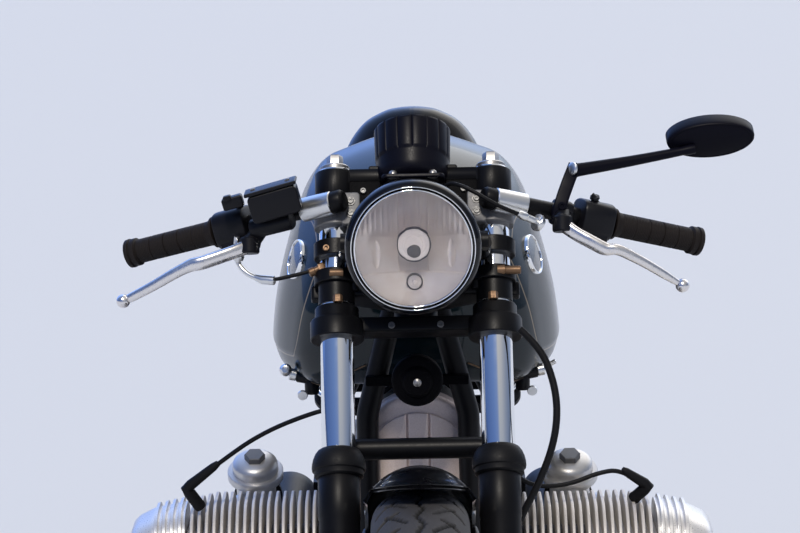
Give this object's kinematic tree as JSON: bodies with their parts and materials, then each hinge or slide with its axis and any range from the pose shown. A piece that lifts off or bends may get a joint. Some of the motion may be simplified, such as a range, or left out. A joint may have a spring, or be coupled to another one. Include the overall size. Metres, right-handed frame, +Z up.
{
  "type": "cafe racer motorcycle",
  "caption": "Cafe racer motorcycle with a finned flat twin engine, wire wheels, low bars and a humped seat, on its centre stand.",
  "frame": {"origin": "on the floor under the front axle, where the front tyre meets it, in the plane of symmetry", "axes": "+X to the rider's left, -Y the way the motorcycle faces, +Z up"},
  "size_m": [0.8106, 2.119, 1.0359],
  "materials": {
    "black_enamel": "gloss",
    "gloss_body": "gloss",
    "chrome": "polished",
    "cast_alloy": "satin",
    "fin_alloy": "matte",
    "wheel_alloy": "polished",
    "disc_steel": "satin",
    "tyre": "matte",
    "rubber": "matte",
    "moulded_black": "satin",
    "clear_glass": "gloss",
    "red_lens": "gloss",
    "seat_leather": "satin"
  },
  "bodies": {
    "chassis": {"frame": "black_enamel", "subframe": "black_enamel", "swingarm": "black_enamel", "footrests": "black_enamel", "horn": "black_enamel", "fuel_tank": "gloss_body", "tail_cowl": "gloss_body", "filler_cap": "chrome", "exhausts": "chrome", "shocks": "chrome", "crankcase": "cast_alloy", "front_cover": "cast_alloy", "gearbox": "cast_alloy", "cylinders": "fin_alloy", "heads": "fin_alloy", "valve_covers": "cast_alloy", "carburettors": "cast_alloy", "final_drive": "cast_alloy", "spark_leads": "rubber", "battery_box": "moulded_black", "tail_lamp": "red_lens", "seat_pad": "seat_leather"},
    "stand": {"centre_stand": "black_enamel"},
    "steering": {"lower_clamp": "black_enamel", "top_clamp": "black_enamel", "headlight_shell": "black_enamel", "headlight_lens": "clear_glass", "clip_ons": "black_enamel", "fork_lowers": "black_enamel", "front_mudguard": "gloss_body", "fork_tubes": "chrome", "levers": "wheel_alloy", "front_calipers": "moulded_black", "grips": "rubber", "control_cables": "rubber", "switch_housings": "moulded_black", "master_cylinder": "moulded_black", "mirror": "moulded_black", "gauge": "moulded_black"},
    "front_wheel": {"front_wheel": "wheel_alloy", "front_discs": "disc_steel", "front_tyre": "tyre"},
    "rear_wheel": {"rear_wheel": "wheel_alloy", "rear_tyre": "tyre"}
  },
  "joints": [
    {"name": "steering_turn", "type": "hinge", "parent": "chassis", "child": "steering", "pos_m": [0, 0.31346, 0.787], "axis": [0, 0.4695, 0.8829], "range_deg": [-30, 30]},
    {"name": "front_wheel_spin", "type": "hinge", "parent": "steering", "child": "front_wheel", "pos_m": [0, 0, 0.316], "axis": [1, 0, 0], "continuous": true},
    {"name": "rear_wheel_spin", "type": "hinge", "parent": "chassis", "child": "rear_wheel", "pos_m": [0, 1.475, 0.34], "axis": [1, 0, 0], "continuous": true},
    {"name": "centre_stand_fold", "type": "hinge", "parent": "chassis", "child": "stand", "pos_m": [0, 0.832, 0.236], "axis": [1, 0, 0], "range_deg": [0, 85]}
  ]
}
